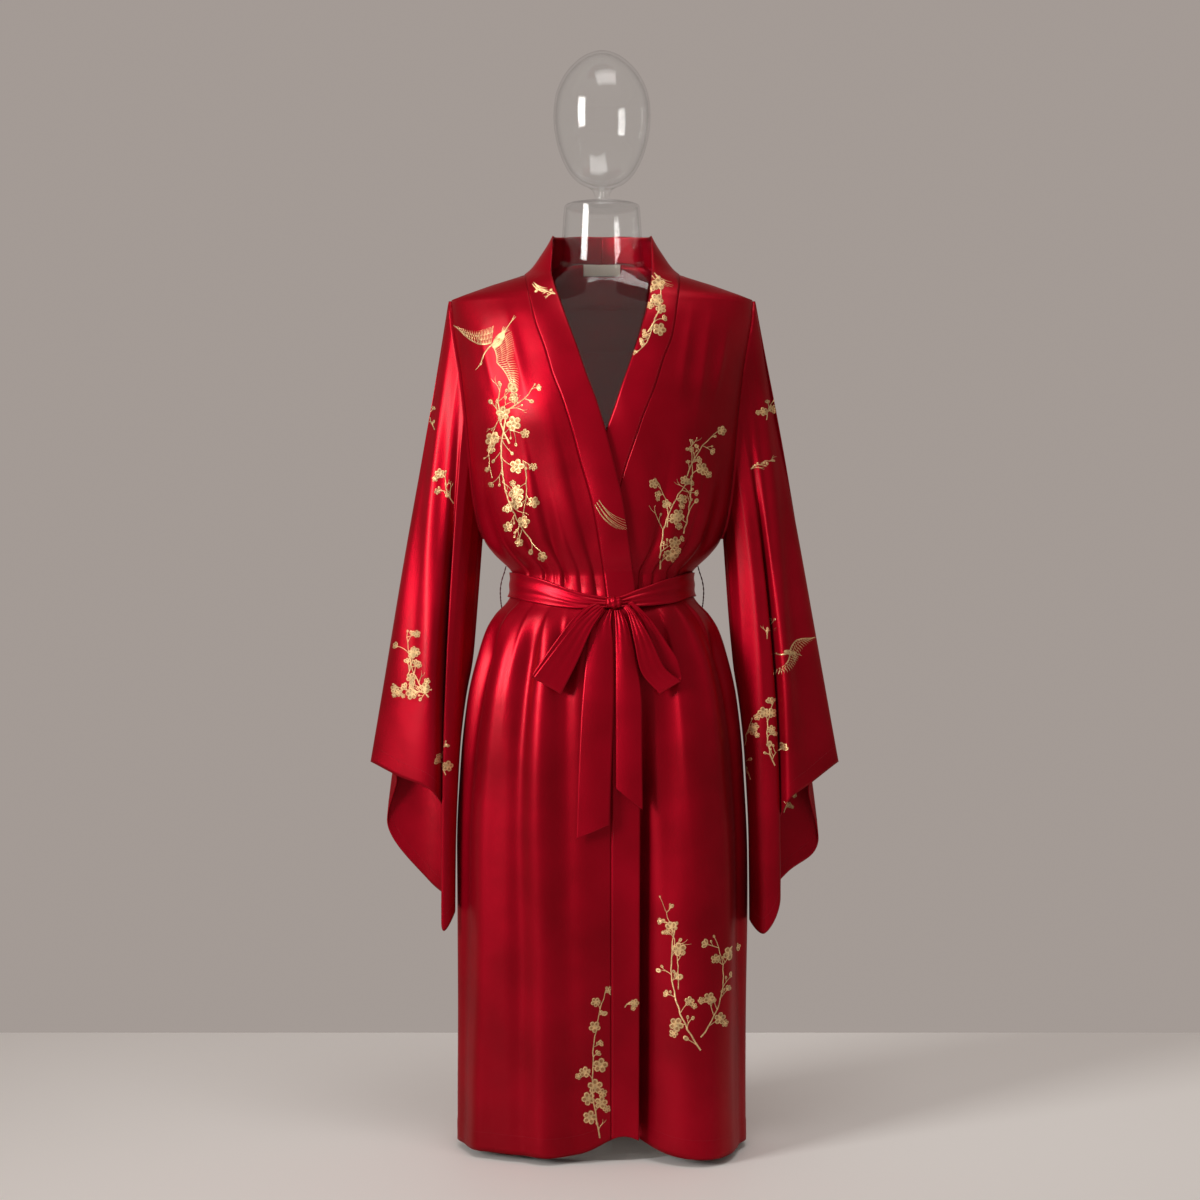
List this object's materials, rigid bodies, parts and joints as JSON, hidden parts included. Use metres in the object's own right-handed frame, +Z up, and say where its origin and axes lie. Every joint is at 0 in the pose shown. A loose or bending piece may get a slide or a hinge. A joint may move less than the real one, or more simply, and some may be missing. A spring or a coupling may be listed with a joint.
{
  "type": "kimono robe on dress form",
  "caption": "Long satin kimono robe with wide hanging sleeves, a neckband and a sash tied in a bow, worn by a clear limbless dress form.",
  "frame": {"origin": "centre of the flat underside of the dress form's base, under the pole", "axes": "+Z up along the pole, -Y to the front of the robe, +X to the wearer's left"},
  "size_m": [0.6366, 0.2542, 1.4886],
  "materials": {
    "satin": "glossy red satin with gold embroidery of cranes and plum blossom",
    "thread": "dark twisted thread",
    "label": "plain woven tape, blank",
    "clear": "clear polished glass",
    "pole": "satin steel"
  },
  "bodies": {
    "root": {"back": "satin", "back_skirt": "satin", "front_right": "satin", "front_right_skirt": "satin", "front_left": "satin", "front_left_skirt": "satin", "neckband_right": "satin", "neckband_left": "satin", "sleeve_right": "satin", "sleeve_left": "satin", "sash_wrap": "satin", "sash_knot": "satin", "sash_loop_right": "satin", "sash_loop_left": "satin", "sash_tail_right": "satin", "sash_tail_left": "satin", "belt_loop_right": "thread", "belt_loop_left": "thread", "label": "label", "form_torso": "clear", "form_neck": "clear", "form_head": "clear", "form_base": "clear", "form_pole": "pole"}
  },
  "joints": []
}
